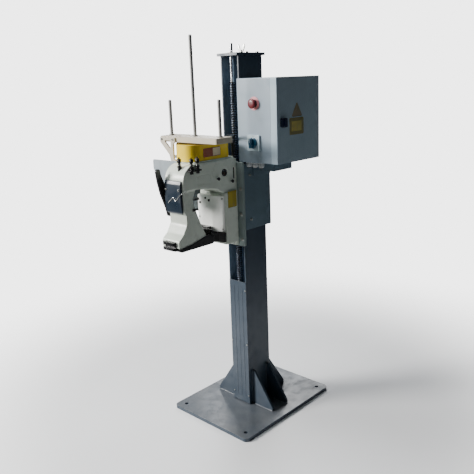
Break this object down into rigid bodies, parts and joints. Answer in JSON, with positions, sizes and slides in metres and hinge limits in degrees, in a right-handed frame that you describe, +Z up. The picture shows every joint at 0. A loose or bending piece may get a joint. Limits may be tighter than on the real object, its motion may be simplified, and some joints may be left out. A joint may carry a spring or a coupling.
{
  "type": "bag closer sewing machine",
  "caption": "Floor-standing bag closing sewing machine: a head with a slit for the bag's mouth and a control box ride on a screw lift along a channel column.",
  "frame": {"origin": "on the floor, under the centre of the column and of the anchor bolt pattern", "axes": "+Z up along the column; +X against the way the bags travel, towards the side they come from; +Y to the column's rear, away from the sewing head"},
  "size_m": [0.521, 0.767, 1.67],
  "materials": {
    "column_paint": "dark slate blue paint, satin",
    "carriage_paint": "blue-grey paint, satin",
    "head_enamel": "off-white machine enamel on cast iron",
    "cover_blue": "dark blue lacquer",
    "black_iron": "blackened iron and steel",
    "screw_steel": "ground steel, lightly oiled",
    "rod_steel": "drawn steel rod",
    "zinc_steel": "zinc plated",
    "pulley_aluminium": "turned",
    "bronze": "bearing bronze",
    "belt_rubber": "moulded belt",
    "pad_plastic": "sliding pad plastic",
    "guard_yellow": "yellow paint",
    "motor_paint": "grey motor paint",
    "tray_paint": "beige grey paint",
    "box_paint": "light blue-grey powder coat",
    "gland_plastic": "grey nylon",
    "switchgear_plastic": "grey moulded devices",
    "pale_plastic": "pale grey-green moulding",
    "navy_plastic": "navy moulding",
    "red_plastic": "deep red moulding",
    "teal_plastic": "dark teal moulding",
    "window_glass": "sight glass over dark oil"
  },
  "bodies": {
    "stand": {"base_plate": "column_paint", "base_gussets": "column_paint", "column": "column_paint", "column_cap": "column_paint", "stand_fasteners": "zinc_steel", "screw_bearings": "bronze", "lower_cover": "column_paint"},
    "lift_screw": {"lift_screw": "screw_steel"},
    "carriage": {"carriage_side_plates": "carriage_paint", "carriage_rear_plate": "carriage_paint", "carriage_front_plate": "carriage_paint", "head_mount_plate": "head_enamel", "guide_pads": "pad_plastic", "lift_nut": "bronze", "nut_holder": "black_iron", "carriage_fasteners": "zinc_steel", "head_top_housing": "head_enamel", "head_top_cover": "head_enamel", "oil_window": "window_glass", "shaft_bushes": "bronze", "front_leg": "head_enamel", "needle_cover": "cover_blue", "needle_bar_guides": "bronze", "lever_pins": "screw_steel", "presser_shoe": "black_iron", "rear_leg": "head_enamel", "looper_cover": "head_enamel", "feed_plate": "black_iron", "chain_cutter": "black_iron", "tension_posts": "black_iron", "thread_guides": "black_iron", "drive_belt": "belt_rubber", "belt_guard": "guard_yellow", "sewing_motor": "motor_paint", "motor_bracket": "carriage_paint", "motor_shield": "box_paint", "thread_tray": "tray_paint", "tray_bracket": "tray_paint", "tray_stay": "black_iron", "thread_rods": "rod_steel", "control_box": "box_paint", "box_shelf": "carriage_paint", "cable_glands": "gland_plastic", "switchgear": "switchgear_plastic", "switch_escutcheon": "pale_plastic"},
    "main_shaft": {"main_shaft": "screw_steel", "main_pulley": "pulley_aluminium"},
    "motor_rotor": {"motor_pulley": "pulley_aluminium"},
    "cross_shaft": {"cross_shaft": "screw_steel"},
    "needle_lever": {"needle_lever": "screw_steel"},
    "needle_bar": {"needle_bar": "screw_steel"},
    "looper": {"looper": "screw_steel"},
    "lift_lever": {"lift_lever": "black_iron"},
    "door": {"control_box_door": "box_paint"},
    "door_latch": {"door_latch": "navy_plastic"},
    "stop_button": {"stop_button": "red_plastic"},
    "switch_knob": {"switch_knob": "teal_plastic"},
    "tension_knob_1": {"tension_knob_1": "black_iron"},
    "tension_knob_2": {"tension_knob_2": "black_iron"},
    "tension_knob_3": {"tension_knob_3": "black_iron"}
  },
  "joints": [
    {"name": "carriage_lift", "type": "slide", "parent": "stand", "child": "carriage", "axis": [0, 0, 1], "range_m": [-0.15, 0.3]},
    {"name": "lift_screw_turn", "type": "hinge", "parent": "stand", "child": "lift_screw", "pos_m": [0, -0.06, 0.8], "axis": [0, 0, 1], "range_deg": [-10802, 5402]},
    {"name": "main_shaft_spin", "type": "hinge", "parent": "carriage", "child": "main_shaft", "pos_m": [0, -0.307, 1.2], "axis": [0, 0, 1], "continuous": true},
    {"name": "motor_spin", "type": "hinge", "parent": "carriage", "child": "motor_rotor", "pos_m": [-0.16, -0.185, 1.2], "axis": [0, 0, 1], "continuous": true},
    {"name": "cross_shaft_spin", "type": "hinge", "parent": "carriage", "child": "cross_shaft", "pos_m": [0, -0.307, 1.128], "axis": [0, 1, 0], "continuous": true},
    {"name": "needle_lever_swing", "type": "hinge", "parent": "carriage", "child": "needle_lever", "pos_m": [0.011, -0.385, 1.04], "axis": [1, 0, 0], "range_deg": [0, 11]},
    {"name": "needle_slide", "type": "slide", "parent": "carriage", "child": "needle_bar", "axis": [0, 1, 0], "range_m": [0, 0.0304]},
    {"name": "looper_swing", "type": "hinge", "parent": "carriage", "child": "looper", "pos_m": [-0.034, -0.165, 0.95], "axis": [0, 1, 0], "range_deg": [-5, 12]},
    {"name": "lift_lever_swing", "type": "hinge", "parent": "carriage", "child": "lift_lever", "pos_m": [-0.0595, -0.392, 0.985], "axis": [1, 0, 0], "range_deg": [0, 25]},
    {"name": "door_swing", "type": "hinge", "parent": "carriage", "child": "door", "pos_m": [0.236, 0.184, 1.33], "axis": [0, 0, 1], "range_deg": [0, 110]},
    {"name": "latch_turn", "type": "hinge", "parent": "door", "child": "door_latch", "pos_m": [0.267, -0.061, 1.326], "axis": [1, 0, 0], "range_deg": [0, 90]},
    {"name": "stop_button_press", "type": "slide", "parent": "carriage", "child": "stop_button", "axis": [0, 1, 0], "range_m": [0, 0.005], "stiffness_N_per_m": 900},
    {"name": "switch_turn", "type": "hinge", "parent": "carriage", "child": "switch_knob", "pos_m": [0.147, -0.108, 1.246], "axis": [0, 1, 0], "range_deg": [0, 90]},
    {"name": "tension_knob_1_turn", "type": "hinge", "parent": "carriage", "child": "tension_knob_1", "pos_m": [0.014, -0.393, 1.2], "axis": [0, 0, 1], "continuous": true},
    {"name": "tension_knob_2_turn", "type": "hinge", "parent": "carriage", "child": "tension_knob_2", "pos_m": [0.067, -0.378, 1.2], "axis": [0, 0, 1], "continuous": true},
    {"name": "tension_knob_3_turn", "type": "hinge", "parent": "carriage", "child": "tension_knob_3", "pos_m": [0.067, -0.346, 1.2], "axis": [0, 0, 1], "continuous": true}
  ],
  "couplings": [
    {"joint": "lift_screw_turn", "follows": "carriage_lift", "rad_per_m": -628.32},
    {"joint": "motor_spin", "follows": "main_shaft_spin", "ratio": 1.3636},
    {"joint": "cross_shaft_spin", "follows": "main_shaft_spin", "ratio": -1},
    {"joint": "needle_slide", "follows": "needle_lever_swing", "m_per_rad": 0.158}
  ]
}
